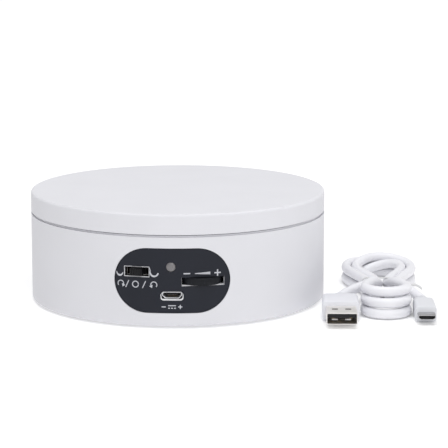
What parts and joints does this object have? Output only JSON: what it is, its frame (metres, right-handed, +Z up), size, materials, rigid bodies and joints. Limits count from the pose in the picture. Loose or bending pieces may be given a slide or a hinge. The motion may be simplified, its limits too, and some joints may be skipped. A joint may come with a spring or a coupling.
{
  "type": "motorised display turntable",
  "caption": "Round powered turntable with a flat platter on a ball bearing, geared motor, slide switch, speed dial and socket, with its folded supply cable.",
  "frame": {"origin": "centre of the ground plane under the feet, on the platter's axis", "axes": "+Z up along the platter's axis, -Y towards the control panel, +X to the right of someone facing the panel"},
  "size_m": [0.1632, 0.1211, 0.045],
  "materials": {
    "casing": "satin moulded ABS, white",
    "platter_white": "satin moulded ABS, white",
    "cover": "textured moulded ABS, white",
    "panel": "satin charcoal with white printed marks",
    "lens": "frosted diffuser",
    "black_plastic": "fine texture",
    "foot_rubber": "soft, matt",
    "nickel": "nickel plated",
    "steel": "turned and ground",
    "dark_steel": "black oxide",
    "board_green": "solder mask",
    "phenolic": "brown laminate",
    "nylon": "natural nylon",
    "acetal": "white acetal",
    "brass": "turned",
    "copper": "enamelled winding",
    "sleeve_blue": "printed sleeve, plain",
    "wire_red": "PVC insulation",
    "wire_black": "PVC insulation",
    "cable_white": "soft PVC jacket",
    "plug_white": "moulded PVC grip"
  },
  "bodies": {
    "stand": {"base_shell": "casing", "bottom_cover": "cover", "rubber_feet": "foot_rubber", "cover_screws": "nickel", "control_panel": "panel", "indicator_led": "lens", "led_legs": "nickel", "usb_socket_shell": "nickel", "usb_socket_tongue": "black_plastic", "main_board": "board_green", "board_screws": "nickel", "switch_board": "board_green", "switch_frame": "nickel", "switch_back": "phenolic", "potentiometer_case": "nickel", "driver_chip": "black_plastic", "capacitor": "sleeve_blue", "board_resistors": "black_plastic", "wire_connector": "nylon", "motor_can": "nickel", "motor_end_cap": "nylon", "motor_terminals": "brass", "motor_screws": "nickel", "motor_wire_red": "wire_red", "motor_wire_black": "wire_black", "gearbox_plate": "steel", "gearbox_screws": "nickel", "gear_pins": "steel", "output_bush": "brass", "bearing_outer_race": "steel", "cable_hank": "cable_white", "cable_lead_left": "cable_white", "cable_lead_right": "cable_white", "cable_tie": "cable_white", "usb_a_plug_body": "plug_white", "usb_a_plug_shell": "nickel", "usb_a_plug_tongue": "black_plastic", "micro_usb_plug_body": "plug_white", "micro_usb_plug_shell": "nickel"},
    "platter": {"platter": "platter_white", "spindle": "steel", "spindle_screws": "dark_steel", "platter_gear": "nylon", "gear_screws": "dark_steel", "bearing_inner_race": "steel", "spindle_washer": "steel", "spindle_clip": "dark_steel"},
    "ball_cage": {"bearing_balls": "steel", "bearing_cage": "brass"},
    "output_drive": {"output_shaft": "steel", "output_gear": "acetal", "drive_pinion": "acetal"},
    "second_idler": {"second_gear": "acetal"},
    "first_idler": {"first_gear": "acetal"},
    "motor_armature": {"motor_shaft": "steel", "motor_rotor": "copper", "motor_pinion": "brass"},
    "direction_switch": {"switch_slider": "black_plastic"},
    "dial": {"speed_dial": "black_plastic", "dial_screw": "nickel"}
  },
  "joints": [
    {"name": "platter_spin", "type": "hinge", "parent": "stand", "child": "platter", "pos_m": [0, 0, 0.031], "axis": [0, 0, 1], "continuous": true},
    {"name": "cage_spin", "type": "hinge", "parent": "stand", "child": "ball_cage", "pos_m": [0, 0, 0.031], "axis": [0, 0, 1], "continuous": true},
    {"name": "output_spin", "type": "hinge", "parent": "stand", "child": "output_drive", "pos_m": [0, 0.042, 0.03], "axis": [0, 0, 1], "continuous": true},
    {"name": "second_idler_spin", "type": "hinge", "parent": "stand", "child": "second_idler", "pos_m": [-0.01353, 0.03707, 0.027], "axis": [0, 0, 1], "continuous": true},
    {"name": "first_idler_spin", "type": "hinge", "parent": "stand", "child": "first_idler", "pos_m": [-0.02272, 0.02788, 0.024], "axis": [0, 0, 1], "continuous": true},
    {"name": "motor_spin", "type": "hinge", "parent": "stand", "child": "motor_armature", "pos_m": [-0.027, 0.01614, 0.012], "axis": [0, 0, 1], "continuous": true},
    {"name": "switch_slide", "type": "slide", "parent": "stand", "child": "direction_switch", "axis": [0.9732, -0.23, 0], "range_m": [-0.002, 0.002]},
    {"name": "speed_dial_turn", "type": "hinge", "parent": "stand", "child": "dial", "pos_m": [0.01099, -0.05307, 0.01875], "axis": [0, 0, 1], "range_deg": [-140, 140]}
  ],
  "couplings": [
    {"joint": "cage_spin", "follows": "platter_spin", "ratio": 0.37},
    {"joint": "output_spin", "follows": "platter_spin", "ratio": -6},
    {"joint": "second_idler_spin", "follows": "platter_spin", "ratio": 18},
    {"joint": "first_idler_spin", "follows": "platter_spin", "ratio": -60},
    {"joint": "motor_spin", "follows": "platter_spin", "ratio": 240}
  ]
}
